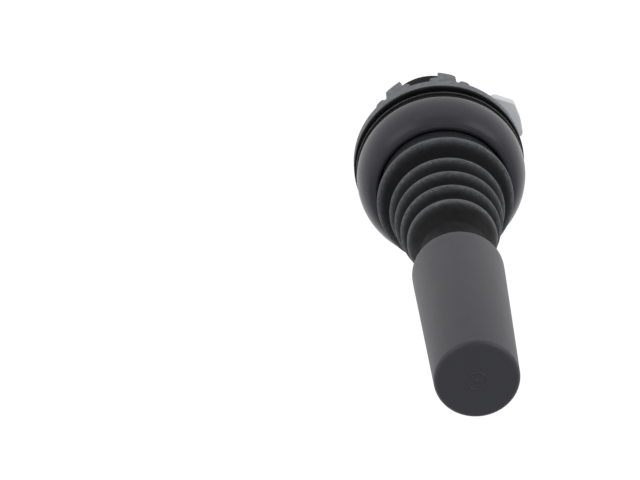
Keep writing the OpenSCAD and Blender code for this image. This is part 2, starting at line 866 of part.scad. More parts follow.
head_body();
bezel();
bezel_seal();
boot();
panel_gasket();
thrust_washer();
ring_nut();
mounting_collar();
locking_lever();
collar_clip();
gate_plate();
gate_screws();
outer_pivot_pins();
gimbal_ring();
inner_pivot_pins();
lever_hub();
hub_pin();
shaft_clip();
lever_shaft();
neck_bush();
handle_insert();
handle_grip();
rocker_plate();
rocker_screw();
return_spring();
plunger_guide();
spacer_sleeve();
rear_cover();
rear_clip();
plunger_north();
plunger_south();
plunger_east();
plunger_west();
spring_north();
spring_south();
spring_east();
spring_west();
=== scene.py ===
import math

import bmesh
import bpy
from bpy.props import FloatProperty, FloatVectorProperty, IntProperty, PointerProperty
from mathutils import Matrix, Vector


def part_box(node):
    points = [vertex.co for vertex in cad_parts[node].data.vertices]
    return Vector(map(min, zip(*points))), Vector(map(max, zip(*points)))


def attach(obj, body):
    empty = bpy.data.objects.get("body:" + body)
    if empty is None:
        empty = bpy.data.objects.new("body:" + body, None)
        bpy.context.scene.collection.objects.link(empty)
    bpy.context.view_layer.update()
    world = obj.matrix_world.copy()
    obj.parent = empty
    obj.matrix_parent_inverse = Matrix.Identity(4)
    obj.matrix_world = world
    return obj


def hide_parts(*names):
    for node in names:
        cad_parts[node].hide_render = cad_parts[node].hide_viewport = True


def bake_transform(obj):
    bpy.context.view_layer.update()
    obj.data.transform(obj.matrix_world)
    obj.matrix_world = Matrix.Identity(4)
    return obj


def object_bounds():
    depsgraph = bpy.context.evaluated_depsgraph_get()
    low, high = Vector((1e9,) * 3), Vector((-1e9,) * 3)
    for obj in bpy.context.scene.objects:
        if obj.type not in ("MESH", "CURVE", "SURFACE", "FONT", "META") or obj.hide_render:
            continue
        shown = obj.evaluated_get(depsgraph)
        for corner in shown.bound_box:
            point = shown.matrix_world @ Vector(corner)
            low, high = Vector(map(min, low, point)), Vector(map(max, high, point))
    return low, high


bl_info = {
    "name": "Panel Joystick",
    "version": (1, 0, 0),
    "blender": (4, 5, 0),
    "location": "View3D > Sidebar > Joystick",
    "description": "Builds a panel joystick with a ribbed boot, a ring nut and a locking lever",
    "category": "Add Mesh",
}

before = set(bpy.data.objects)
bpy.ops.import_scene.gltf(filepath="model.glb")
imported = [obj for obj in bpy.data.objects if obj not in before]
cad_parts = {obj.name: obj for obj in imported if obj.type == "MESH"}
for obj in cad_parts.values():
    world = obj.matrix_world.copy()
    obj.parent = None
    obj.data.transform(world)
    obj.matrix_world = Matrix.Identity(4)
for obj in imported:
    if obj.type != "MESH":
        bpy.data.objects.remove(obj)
CAD_LOW, CAD_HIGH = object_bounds()
MM = 0.001
MERGE_DISTANCE = 1e-7
SHORTEST_EDGE = 1e-8


# ---------------------------------------------------------------- sizes and colours


def tint(name, description, default):
    """A colour that the sidebar shows."""
    return FloatVectorProperty(
        name=name, description=description, default=default, subtype="COLOR", size=3, min=0, max=1
    )


def length(name, description, default):
    """A length in metres that the sidebar shows."""
    return FloatProperty(name=name, description=description, default=default, unit="LENGTH", precision=5)


class JoystickColours(bpy.types.PropertyGroup):
    handle: tint("Handle", "Moulded plastic of the handle", (0.0278, 0.0268, 0.0360))
    bezel: tint("Bezel", "Moulded plastic of the domed ring", (0.0325, 0.0318, 0.040))
    nut: tint("Ring nut", "Moulded plastic of the ring nut", (0.180, 0.180, 0.190))
    housing: tint("Housing", "Black nylon of flange and barrel", (0.0045, 0.0045, 0.005))
    boot: tint("Boot", "Black rubber of the bellows", (0.0038, 0.0038, 0.004))
    # Pale rubber of the rubbed, dusty crests; the same colour also paints highlights on the crests, and its
    # fall-off paints shade into the valleys.
    wear_and_light: tint("Worn rubber", "Paler rubber on the crests of the bellows", (0.140, 0.140, 0.146))
    seal: tint("Seal", "Black rubber of gasket, washer and seal", (0.0095, 0.0095, 0.0098))
    # Paler than the seal's rubber, so that the lip paints a highlight line along the gasket's edge.
    lip: tint("Glossy lip", "Smooth lip around the gasket", (0.024, 0.024, 0.024))
    lock: tint("Locking lever", "Pale plastic of the locking lever", (0.80, 0.80, 0.82))
    acetal: tint("Acetal", "Ivory bearing plastic of plungers and guide", (0.66, 0.63, 0.54))


class JoystickSizes(bpy.types.PropertyGroup):
    around: IntProperty(
        name="Steps around", description="Faces around a turned piece", default=144, min=24, max=256
    )
    crest_rounding: length("Crest rounding", "Rounding of the crests of the bellows", 0.00042)
    valley_rounding: length("Valley rounding", "Rounding of the valleys of the bellows", 0.0008)
    thread_pitch: length("Thread pitch", "Distance between the turns of the barrel's thread", 0.0015)
    thread_depth: length("Thread depth", "Height of the thread under the nut", 0.00045)


# ---------------------------------------------------------------- turned and cut shapes


def rounded(corners, steps=6):
    """A line in (radius, height) through corners (radius, height, rounding), all in millimetres."""
    nearly_straight, most_of_edge = 0.01, 0.49
    line = []
    last = len(corners) - 1
    for i, (r, z, rounding) in enumerate(corners):
        here = Vector((r, z))
        if rounding <= 0 or i in (0, last):
            line.append((r, z))
            continue
        back = Vector(corners[i - 1][:2]) - here
        ahead = Vector(corners[i + 1][:2]) - here
        half = back.angle(ahead) / 2
        if half > math.pi / 2 - nearly_straight:
            line.append((r, z))
            continue
        reach = min(rounding / math.tan(half), most_of_edge * back.length, most_of_edge * ahead.length)
        back.normalize()
        ahead.normalize()
        radius = reach * math.tan(half)
        centre = here + (back + ahead).normalized() * radius / math.sin(half)
        first = here + back * reach - centre
        second = here + ahead * reach - centre
        sweep = first.angle(second)
        for step in range(steps + 1):
            share = step / steps
            arm = first * math.sin((1 - share) * sweep) + second * math.sin(share * sweep)
            line.append(tuple(centre + arm / math.sin(sweep)))
    return line


def divided(line, step=0.35):
    """A line in millimetres with points along its long stretches, no further apart than a step."""
    points = [line[0]]
    for (r0, z0), (r1, z1) in zip(line, line[1:]):
        parts = max(1, math.ceil(math.hypot(r1 - r0, z1 - z0) / step))
        points += [
            (r0 + (r1 - r0) * i / parts, z0 + (z1 - z0) * i / parts) for i in range(1, parts + 1)
        ]
    return points


def turned(line, around, closed=True):
    """A line in millimetres, turned about the barrel's axis."""
    bm = bmesh.new()
    verts = [bm.verts.new((r * MM, 0, z * MM)) for r, z in line]
    edges = [bm.edges.new(pair) for pair in zip(verts, verts[1:])]
    if closed:
        edges.append(bm.edges.new((verts[-1], verts[0])))
    bmesh.ops.spin(
        bm, geom=verts + edges, cent=(0, 0, 0), axis=(0, 0, 1), dvec=(0, 0, 0),
        angle=math.tau, steps=around, use_merge=True, use_duplicate=False,
    )
    tidy(bm)
    return bm


def tidy(bm):
    """Merges doubles, drops edges of no length and turns every face outwards."""
    bmesh.ops.remove_doubles(bm, verts=bm.verts, dist=MERGE_DISTANCE)
    bmesh.ops.dissolve_degenerate(bm, edges=bm.edges, dist=SHORTEST_EDGE)
    bmesh.ops.recalc_face_normals(bm, faces=bm.faces)


def wound(radius, wire, low, high, turns, around=24, sides=10):
    """A round wire wound about the barrel's axis, its middle rising from low to high, in millimetres."""
    bm = bmesh.new()
    place = Matrix.Translation((radius * MM, 0, low * MM)) @ Matrix.Rotation(math.pi / 2, 4, "X")
    ring = bmesh.ops.create_circle(bm, cap_ends=True, segments=sides, radius=wire * MM, matrix=place)
    steps = int(turns * around)
    rise = (high - low) * MM / steps
    swept(bm, ring["verts"] + list(bm.edges) + list(bm.faces), rise, steps, around)
    return bm


def swept(bm, profile, rise, steps, around):
    """Turns a profile about the barrel's axis in steps, each of which rises a little, in metres."""
    bmesh.ops.spin(
        bm, geom=profile, cent=(0, 0, 0), axis=(0, 0, 1), dvec=(0, 0, rise),
        angle=math.tau * steps / around, steps=steps, use_merge=False, use_duplicate=False,
    )
    tidy(bm)


def added(bm, other):
    """Puts the faces of another bmesh into this one."""
    mesh = bpy.data.meshes.new("joining")
    other.to_mesh(mesh)
    other.free()
    bm.from_mesh(mesh)
    bpy.data.meshes.remove(mesh)
    return bm


def block(low, high, rounding=0.0, segments=2):
    """A block between two corners in millimetres, with rounded edges."""
    bm = bmesh.new()
    size = Vector(high) - Vector(low)
    middle = (Vector(high) + Vector(low)) / 2
    place = Matrix.Translation(middle * MM) @ Matrix.Diagonal((*(size * MM), 1))
    bmesh.ops.create_cube(bm, size=1, matrix=place)
    if rounding:
        soften(bm, bm.edges, rounding, segments)
    return bm


def sharp_edges(bm, angle=1):
    """The edges whose faces turn by more than an angle in radians."""
    return [edge for edge in bm.edges if edge.calc_face_angle(0) > angle]


def pushed_out(corners, way):
    """The flat shape between corners, pushed out along a way, both in millimetres."""
    bm = bmesh.new()
    face = bm.faces.new([bm.verts.new([value * MM for value in corner]) for corner in corners])
    pushed = bmesh.ops.extrude_face_region(bm, geom=[face])
    moved = [vert for vert in pushed["geom"] if isinstance(vert, bmesh.types.BMVert)]
    bmesh.ops.translate(bm, verts=moved, vec=[value * MM for value in way])
    return bm


def soften(bm, edges, rounding, segments=2):
    """Bevels edges by a rounding in millimetres."""
    bmesh.ops.bevel(
        bm, geom=list(edges), offset=rounding * MM, offset_type="OFFSET", segments=segments,
        profile=0.5, affect="EDGES", material=-1, clamp_overlap=True,
    )


def clockwise(bm, angle):
    """Turns a shape drawn along +X to an angle counted clockwise from the nib."""
    turn = Matrix.Rotation(math.radians(90 - angle), 3, "Z")
    bmesh.ops.rotate(bm, verts=bm.verts, cent=(0, 0, 0), matrix=turn)
    return bm


def piece(bm, name, material, body=None, replaces=(), sharp=35, blend=None):
    """Makes an object of a bmesh, gives it its finish and its place in the frame."""
    mesh = bpy.data.meshes.new(name)
    bm.to_mesh(mesh)
    bm.free()
    mesh.shade_smooth()
    mesh.set_sharp_from_angle(angle=math.radians(sharp))
    mesh.materials.append(material)
    obj = bpy.data.objects.new(name, mesh)
    bpy.context.scene.collection.objects.link(obj)
    if replaces:
        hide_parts(*replaces)
    if blend:
        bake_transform(obj)
    else:
        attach(obj, body)
    return obj


# ---------------------------------------------------------------- finishes


class Finish:
    """A material's node tree, built link by link."""

    def __init__(self, name):
        self.material = bpy.data.materials.new(name)
        self.material.use_nodes = True
        self.tree = self.material.node_tree
        self.shader = self.tree.nodes["Principled BSDF"]
        self.place = self.node("ShaderNodeTexCoord").outputs["Object"]

    def node(self, kind, **settings):
        made = self.tree.nodes.new(kind)
        for key, value in settings.items():
            setattr(made, key, value)
        return made

    def link(self, source, target):
        self.tree.links.new(source, target)

    def noise(self, size, detail=3.0, roughness=0.55, stretch=(1, 1, 1)):
        """Noise whose grains are about size millimetres wide."""
        mapping = self.node("ShaderNodeMapping")
        mapping.inputs["Scale"].default_value = stretch
        self.link(self.place, mapping.inputs["Vector"])
        made = self.node("ShaderNodeTexNoise")
        made.inputs["Scale"].default_value = 1 / (size * MM)
        made.inputs["Detail"].default_value = detail
        made.inputs["Roughness"].default_value = roughness
        self.link(mapping.outputs["Vector"], made.inputs["Vector"])
        return made.outputs["Fac"]

    def ranged(self, source, low, high, start=0.0, end=1.0):
        made = self.node("ShaderNodeMapRange")
        for key, value in zip(("From Min", "From Max", "To Min", "To Max"), (low, high, start, end)):
            made.inputs[key].default_value = value
        self.link(source, made.inputs["Value"])
        return made.outputs["Result"]

    def maths(self, operation, first, second):
        made = self.node("ShaderNodeMath", operation=operation)
        for socket, value in zip(made.inputs, (first, second)):
            if isinstance(value, (int, float)):
                socket.default_value = value
            else:
                self.link(value, socket)
        return made.outputs["Value"]

    def mixed(self, share, first, second):
        made = self.node("ShaderNodeMix", data_type="RGBA")
        self.link(share, made.inputs["Factor"])
        for socket, value in zip((made.inputs[6], made.inputs[7]), (first, second)):
            if hasattr(value, "is_linked"):
                self.link(value, socket)
            else:
                socket.default_value = (*value, 1)
        return made.outputs[2]

    def bump(self, height, distance, strength=1.0, under=None):
        made = self.node("ShaderNodeBump")
        made.inputs["Strength"].default_value = strength
        made.inputs["Distance"].default_value = distance * MM
        self.link(height, made.inputs["Height"])
        if under:
            self.link(under, made.inputs["Normal"])
        return made.outputs["Normal"]


def shade(colour, factor):
    """A colour made lighter or darker."""
    return tuple(min(1.0, c * factor) for c in colour)


def moulded(
    name, colour, roughness, grain=0.12, relief=0.006, clouds=6.0, contrast=0.12, specular=0.5,
    waves=0.05, rubbing=0.06,
):
    """Moulded plastic: spark grain, faint clouds and rubbed patches, with sizes in millimetres."""
    f = Finish(name)
    cloud = f.ranged(f.noise(clouds, 4), 0.3, 0.7)
    tinted = f.mixed(cloud, shade(colour, 1 - contrast), shade(colour, 1 + contrast))
    speck = f.ranged(f.noise(grain * 3, 2), 0.62, 0.8)
    f.link(f.mixed(speck, tinted, shade(colour, 1 + 2 * contrast)), f.shader.inputs["Base Color"])
    rubbed = f.ranged(f.noise(clouds * 0.6, 3), 0.3, 0.75, roughness - rubbing, roughness + rubbing)
    f.link(rubbed, f.shader.inputs["Roughness"])
    f.shader.inputs["Specular IOR Level"].default_value = specular
    fine = f.bump(f.noise(grain, 2, 0.6), relief)
    f.link(f.bump(f.noise(clouds * 1.5, 2), waves, 0.6, fine), f.shader.inputs["Normal"])
    return f.material


def rubber(name, colour, wear_and_light, roughness=0.52):
    """Black rubber, paler and dusty where the crests are rubbed, with painted highlights on the crests and
    painted shade down into the valleys.
    """
    f = Finish(name)
    patch, blotch, speck, dusty_area, sheen, grain = 0.9, 3.0, 0.22, 5.0, 2.0, 0.16
    # The per-vertex share read here mixes rubbing with painted light: a painted highlight on each crest and
    # painted shade towards the valleys.
    crest = f.node("ShaderNodeAttribute", attribute_name="wear_and_light").outputs["Fac"]
    patchy_wear_and_light = f.maths("MULTIPLY", crest, f.ranged(f.noise(patch, 4, 0.65), 0.25, 0.65, 0.45, 1.0))
    base = f.mixed(f.ranged(f.noise(blotch, 4), 0.3, 0.7), shade(colour, 0.85), shade(colour, 1.2))
    # Crests paler by rubbing and by painted highlight, flanks darker by painted shade.
    rubbed = f.mixed(patchy_wear_and_light, base, wear_and_light)
    dust = f.ranged(f.noise(speck, 2, 0.5), 0.61, 0.69)
    dust = f.maths("MULTIPLY", dust, f.ranged(crest, 0.35, 0.80, 0.03, 1.0))
    dust = f.maths("MULTIPLY", dust, f.ranged(f.noise(dusty_area, 2), 0.42, 0.62, 0.15, 1.0))
    f.link(f.mixed(dust, rubbed, shade(wear_and_light, 2.6)), f.shader.inputs["Base Color"])
    dull = f.ranged(f.noise(sheen, 3), 0.3, 0.7, roughness - 0.06, roughness + 0.1)
    f.link(dull, f.shader.inputs["Roughness"])
    f.shader.inputs["Specular IOR Level"].default_value = 0.10
    f.link(f.bump(f.noise(grain, 3, 0.6), 0.010), f.shader.inputs["Normal"])
    return f.material


def metal(name, colour, roughness, lines=1.0, stretch=(1, 1, 12)):
    """Turned or drawn metal with dull patches and tool lines, as wide as lines says before the stretch."""
    f = Finish(name)
    clouds, dull_patch = 2.5, 1.4
    cloud = f.ranged(f.noise(clouds, 4), 0.3, 0.7)
    f.link(f.mixed(cloud, shade(colour, 0.82), shade(colour, 1.08)), f.shader.inputs["Base Color"])
    f.shader.inputs["Metallic"].default_value = 1.0
    dull = f.ranged(f.noise(dull_patch, 4), 0.3, 0.7, roughness - 0.06, roughness + 0.10)
    f.link(dull, f.shader.inputs["Roughness"])
    f.link(f.bump(f.noise(lines, 3, 0.6, stretch), 0.004), f.shader.inputs["Normal"])
    return f.material


def finishes(colours):
    """Every finish of the joystick, made once and found by name."""
    made = {m.name: m for m in bpy.data.materials}
    recipes = {
        "handle_finish": lambda n: moulded(
            n, colours.handle, 0.46, contrast=0.05, specular=0.56, waves=0.004, rubbing=0.015
        ),
        "bezel_finish": lambda n: moulded(
            n, colours.bezel, 0.27, contrast=0.10, specular=0.31, waves=0.03, rubbing=0.04
        ),
        "nut_finish": lambda n: moulded(
            n, colours.nut, 0.55, grain=0.22, relief=0.020, clouds=1.1, contrast=0.24, specular=0.15
        ),
        "housing_finish": lambda n: moulded(n, colours.housing, 0.5, contrast=0.2, specular=0.02),
        "boot_finish": lambda n: rubber(n, colours.boot, colours.wear_and_light),
        "seal_finish": lambda n: moulded(n, colours.seal, 0.5, contrast=0.25, specular=0.03),
        # Paler colour and strong patchy clouds paint a broken highlight line along the gasket's edge.
        "lip_finish": lambda n: moulded(n, colours.lip, 0.25, clouds=1.5, contrast=0.3, specular=0.5),
        "lock_finish": lambda n: moulded(n, colours.lock, 0.45, contrast=0.04),
        "acetal_finish": lambda n: moulded(n, colours.acetal, 0.35, contrast=0.05),
        "steel_finish": lambda n: metal(n, (0.62, 0.62, 0.64), 0.30),
        "wire_finish": lambda n: metal(n, (0.66, 0.66, 0.68), 0.22, stretch=(4, 4, 4)),
        "zinc_finish": lambda n: metal(n, (0.50, 0.50, 0.52), 0.48, lines=0.4, stretch=(1, 1, 1)),
        "brass_finish": lambda n: metal(n, (0.72, 0.52, 0.24), 0.28),
    }
    return {n: made[n] if n in made else make(n) for n, make in recipes.items()}


# ---------------------------------------------------------------- operators


class JoystickOperator:
    """What every operator of the joystick shares."""

    bl_options = {"REGISTER", "UNDO"}

    def sizes(self, context):
        return context.scene.joystick_sizes

    def finish(self, context, name):
        return finishes(context.scene.joystick_colours)[name]


class JOYSTICK_OT_handle(JoystickOperator, bpy.types.Operator):
    """Tapered handle with a rounded tip and a moulded ring on its face"""

    bl_idname = "joystick.handle"
    bl_label = "Handle"

    def execute(self, context):
        low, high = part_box("handle_grip")
        foot, top, base = low.z / MM, high.z / MM, high.x / MM
        bore, bore_depth, recess, recess_depth = 3.05, 4, 6.2, 0.5
        tip, face, mark, dot = 7.13, top - 0.15, 1.60, 0.26
        line = rounded([
            (bore, foot + bore_depth, 0), (bore, foot + recess_depth, 0.3),
            (recess, foot + recess_depth, 0.3), (recess, foot, 0.2),
            (base, foot, 0.7), (base - 0.06, foot + 2.6, 3), (tip, face - 0.10, 1.0),
            (mark + 0.15, face, 0.03), (mark, top, 0.06), (mark - 0.15, face, 0.03),
            (dot + 0.20, face - 0.02, 0.03), (dot, top, 0.1), (0, top, 0),
        ], 8)
        bm = turned(line, self.sizes(context).around, closed=False)
        piece(bm, "handle_grip_moulding", self.finish(context, "handle_finish"), "lever", ["handle_grip"])
        return {"FINISHED"}


class JOYSTICK_OT_boot(JoystickOperator, bpy.types.Operator):
    """Bellows of five sharp crests, in a lower and an upper half that meet in a valley"""

    bl_idname = "joystick.boot"
    bl_label = "Boot"

    crests = [(14.0, 16.2), (11.7, 21.2), (10.9, 26.2), (9.95, 30.8), (8.85, 35.2)]
    valleys = [(10.2, 18.9), (9.5, 23.9), (8.7, 28.6), (7.7, 33.0)]
    wall = 1.1
    bead_inner, bead_outer, bead_low, bead_high = 11.95, 14.05, 6.85, 8.05
    neck_height, neck_reach = 39.3, 3
    # Shares of pale rubber: the top crest is dustier, and root and neck are made a little paler.
    last_crest_wear, root_wear, neck_wear = 1.35, 0.17, 0.05
    bend_start, bend_end = 9.5, 41.5

    def execute(self, context):
        sizes = self.sizes(context)
        sharp, soft = sizes.crest_rounding / MM, sizes.valley_rounding / MM
        c, v = self.crests, self.valleys
        meeting_r, meeting_z = v[1]
        root = [
            (self.bead_outer, self.bead_low, 0), (self.bead_outer, self.bead_high, 0.2),
            (13.2, self.bead_high, 0.1), (13.08, 10.5, 1.5), (13.2, 13.2, 2.5),
        ]
        neck = [(7.9, 37.6, 3), (6.4, 40.6, 3), (6.2, 43, 1), (6.25, 48.3, 0.4), (6.6, 48.9, 0.3)]
        neck.append((5.2, 49.0, 0))
        bead_foot = [(self.bead_inner, self.bead_low, 0)]
        outer_low = root + [(*c[0], sharp), (*v[0], soft), (*c[1], sharp), (*v[1], 0)]
        outer_high = [(*v[1], 0), (*c[2], sharp), (*v[2], soft), (*c[3], sharp), (*v[3], soft)]
        outer_high += [(*c[4], sharp)] + neck
        inner_low = [(r - self.wall, z, q) for r, z, q in outer_low[2:]]
        inner_high = [(r - self.wall, z, q) for r, z, q in outer_high[:-2]]
        seam = [(meeting_r - 0.02, meeting_z, 0)]
        outlines = {
            "boot_lower_half": outer_low + seam + inner_low[:0:-1] + bead_foot,
            "boot_upper_half": outer_high + inner_high[::-1],
        }
        spans = {
            "boot_lower_half": ("head", "gimbal", (0, 0, self.bend_start * MM), (0, 0, meeting_z * MM)),
            "boot_upper_half": ("gimbal", "lever", (0, 0, meeting_z * MM), (0, 0, self.bend_end * MM)),
        }
        for name, corners in outlines.items():
            bm = turned(divided(rounded(corners, 7)), sizes.around)
            # Per-vertex share of pale rubber: rubbing plus painted highlights and painted shade.
            layer = bm.verts.layers.float.new("wear_and_light")
            for vert in bm.verts:
                vert[layer] = self.wear(math.hypot(vert.co.x, vert.co.y) / MM, vert.co.z / MM)
            piece(
                bm, name, self.finish(context, "boot_finish"), replaces=["boot"],
                sharp=60, blend=spans[name],
            )
        return {"FINISHED"}

    def wear(self, r, z):
        """How pale the rubber is: a painted highlight line on each crest, a zone around it that mixes rubbing
        with painted light, a broad fall-off that paints shade into the valleys, and a little at root and
        neck.
        """
        near = min(math.hypot(r - crest_r + 0.05, z - crest_z) for crest_r, crest_z in self.crests)
        # The first term paints a highlight along each crest; the other two mix rubbing with painted shade
        # that darkens towards the valleys.
        line, wear_and_shade_band, shade_falloff = math.exp(-((3.5 * near) ** 2)), math.exp(-(near**2)), math.exp(-near / 2.5)
        rubbed = 0.55 * line + 0.85 * wear_and_shade_band + 0.10 * shade_falloff
        if z > self.crests[-1][1] - 1.5:
            rubbed *= self.last_crest_wear
        if z < self.crests[0][1] - 1:
            return max(rubbed, self.root_wear)
        return max(rubbed, self.neck_wear * max(0, 1 - abs(z - self.neck_height) / self.neck_reach))


class JOYSTICK_OT_bezel(JoystickOperator, bpy.types.Operator):
    """Domed ring over the flange"""

    bl_idname = "joystick.bezel"
    bl_label = "Bezel"

    def execute(self, context):
        low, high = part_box("bezel")
        back, edge = low.z / MM, high.x / MM
        foot, shoulder, rise, power = 0.75, 3.8, 7.7, 1.8
        inner, opening, ceiling, steps = 14.3, 13.3, 8.2, 24
        dome = []
        for step in range(steps + 1):
            turn = math.radians(90 * step / steps)
            dome.append((
                edge - shoulder * (1 - math.cos(turn) ** (2 / power)),
                back + foot + rise * math.sin(turn) ** (2 / power), 0,
            ))
        corners = [(inner, back, 0), (edge - 0.3, back, 0), (edge - 0.02, back + 0.2, 0.1)] + dome
        top = back + foot + rise
        corners += [(opening + 0.15, top - 0.1, 0.3), (opening, top - 0.8, 0.2)]
        corners += [(opening, ceiling, 0), (inner, ceiling, 0)]
        bm = turned(rounded(corners, 4), self.sizes(context).around)
        piece(bm, "bezel_dome", self.finish(context, "bezel_finish"), "head", ["bezel"], sharp=40)
        return {"FINISHED"}


class JOYSTICK_OT_housing(JoystickOperator, bpy.types.Operator):
    """Flange, threaded barrel, gasket and washer"""

    bl_idname = "joystick.housing"
    bl_label = "Housing"

    def execute(self, context):
        sizes = self.sizes(context)
        low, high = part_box("head_body")
        rear, edge = low.z / MM, high.x / MM
        depth, pitch = sizes.thread_depth / MM, sizes.thread_pitch / MM
        outer, start, stop = 11.0, -7.3, -3.0
        core = outer - depth
        bore, rear_bore, bore_step = 9.2, 9.5, -8
        rim, rim_top, collar, collar_top, flange_top = 11.8, 8.4, 14.15, 6.8, 2.2
        groove, groove_front, groove_back = 10.52, -15.2, -16.0
        corners = [
            (bore, rim_top, 0), (rim, rim_top, 0.1), (rim, collar_top, 0), (collar, collar_top, 0.1),
            (collar, flange_top, 0.1), (edge - 0.15, flange_top, 0), (edge, flange_top - 0.15, 0.1),
            (edge, 1.1, 0.1), (edge - 0.25, 1.0, 0), (core, 1.0, 0.2), (core, start, 0.1),
            (outer, start - 0.3, 0.1), (outer, groove_front, 0.05), (groove, groove_front, 0.05),
            (groove, groove_back, 0.05), (outer, groove_back, 0.05), (outer, rear + 0.3, 0.1),
            (outer - 0.3, rear, 0.1), (rear_bore + 0.3, rear, 0.1), (rear_bore, rear + 0.3, 0.1),
            (rear_bore, bore_step, 0), (bore, bore_step, 0),
        ]
        bm = turned(rounded(corners, 3), sizes.around)
        around = 64
        profile = (
            (core - 0.15, 0), (core, 0.08), (outer, 0.58), (outer, 0.80), (core, 1.30), (core - 0.15, 1.38)
        )
        ridge = bmesh.new()
        face = ridge.faces.new([ridge.verts.new((r * MM, 0, (start + z) * MM)) for r, z in profile])
        steps = int((stop - start) / pitch * around)
        swept(ridge, list(ridge.verts) + list(ridge.edges) + [face], pitch * MM / around, steps, around)
        added(bm, ridge)
        nib_half, nib_foot, nib_top, nib_depth = 1.5, 10.2, 12.6, -1.6
        added(bm, block((-nib_half, nib_foot, nib_depth), (nib_half, nib_top, 1.2), 0.25))
        housing, rubber_seal = self.finish(context, "housing_finish"), self.finish(context, "seal_finish")
        piece(bm, "flange_and_barrel", housing, "head", ["head_body"])

        gasket, gasket_bore, thick = 17.5, 11.2, 1.0
        seal = rounded([
            (gasket_bore, 0, 0), (gasket - 0.3, 0, 0.1), (gasket, 0.05, 0.08), (gasket, 0.35, 0),
            (gasket - 0.05, 0.55, 0.1), (gasket, thick - 0.05, 0.05), (gasket - 0.2, thick, 0),
            (gasket_bore, thick, 0),
        ], 3)
        piece(turned(seal, sizes.around), "gasket_ring", rubber_seal, "head", ["panel_gasket"])
        # A glossy bead on the gasket's edge, coloured paler than the gasket so that it paints a highlight
        # line.
        lip_outer, lip_low, lip_high = 17.85, 0.02, 0.28
        lip = rounded([
            (gasket - 0.1, lip_low, 0), (lip_outer, lip_low, 0.1), (lip_outer, lip_high, 0.12),
            (gasket - 0.1, lip_high, 0),
        ], 4)
        piece(turned(lip, sizes.around), "gasket_lip_highlight", self.finish(context, "lip_finish"), "head")

        low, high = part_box("thrust_washer")
        # Drawn 0.22 mm wider than the part, so that its black edge covers the ring nut's front edge as
        # painted shade.
        edge, back, front, washer_bore = high.x / MM + 0.22, low.z / MM, high.z / MM, 11.15
        washer = rounded([
            (washer_bore, back, 0), (edge - 0.1, back, 0), (edge, back + 0.1, 0.1),
            (edge, front - 0.2, 0.15), (edge - 0.2, front, 0), (washer_bore, front, 0),
        ], 3)
        piece(turned(washer, sizes.around), "washer_ring", rubber_seal, "head", ["thrust_washer"])
        return {"FINISHED"}


class JOYSTICK_OT_ring_nut(JoystickOperator, bpy.types.Operator):
    """Ring nut with pairs of dogs and half-round bumps behind its rim"""

    bl_idname = "joystick.ring_nut"
    bl_label = "Ring nut"

    pairs, pair_middle, half_spread = 3, -14.2, 19.3
    bumps = ((-8.6, 0.95, 1.2), (11.2, 0.35, 1.1))  # angle from the dog, depth behind the rim, radius

    def execute(self, context):
        sizes = self.sizes(context)
        low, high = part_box("ring_nut")
        edge, back, front = high.x / MM, low.z / MM, high.z / MM
        rim, inner, outer = front - 2.9, edge - 2.8, edge - 0.2
        bore, body, foot = 11.05, 14.0, front - 4.0
        corners = [
            (bore, front, 0), (edge - 0.1, front, 0.05), (edge, front - 0.1, 0.05), (edge, rim + 0.15, 0.12),
            (edge - 0.2, rim, 0.1), (body, rim, 0.2), (body, foot, 0.3), (bore, foot, 0),
        ]
        bm = turned(rounded(corners, 3), sizes.around)
        for pair in range(self.pairs):
            middle = 360 / self.pairs * pair + self.pair_middle
            for side in (-1, 1):
                dog = self.dog(side, inner, outer, rim, back)
                added(bm, clockwise(dog, middle + self.half_spread * side))
                for lean, behind, radius in self.bumps:
                    bump = self.bump(inner, outer, rim - behind, radius)
                    added(bm, clockwise(bump, middle + (self.half_spread + lean) * side))
        piece(bm, "ring_nut_moulding", self.finish(context, "nut_finish"), "nut", ["ring_nut"])
        return {"FINISHED"}

    def bump(self, inner, outer, height, radius):
        """A short round bar that lies along a radius, in millimetres."""
        bm = bmesh.new()
        place = Matrix.Translation(((inner + outer + 0.4) / 2 * MM, 0, height * MM))
        bmesh.ops.create_cone(
            bm, cap_ends=True, segments=32, radius1=radius * MM, radius2=radius * MM,
            depth=(outer - inner - 0.1) * MM, matrix=place @ Matrix.Rotation(math.pi / 2, 4, "Y"),
        )
        soften(bm, sharp_edges(bm), 0.15, 3)
        return bm

    def dog(self, side, inner, outer, rim, back):
        """A ramped block, steep on the side that faces its twin, with its outer face on the nut's rim."""
        steep, overlap = side * 1.85, 0.4
        profile = [
            (steep, rim + overlap), (steep, back - 0.2), (-steep * 0.6, back + 0.8), (-steep, back + 1.4),
            (-steep, rim + overlap),
        ]
        bm = pushed_out([(inner, y, z) for y, z in profile], (outer - inner, 0, 0))
        across = [e for e in bm.edges if abs(e.verts[0].co.y - e.verts[1].co.y) > 2 * MM]
        bmesh.ops.subdivide_edges(bm, edges=across, cuts=4, use_grid_fill=True)
        bmesh.ops.recalc_face_normals(bm, faces=bm.faces)
        soften(bm, sharp_edges(bm, 0.3), 0.18)
        for vert in bm.verts:
            vert.co.x -= abs(vert.co.x) - math.sqrt(max(0, vert.co.x**2 - vert.co.y**2))
        return bm


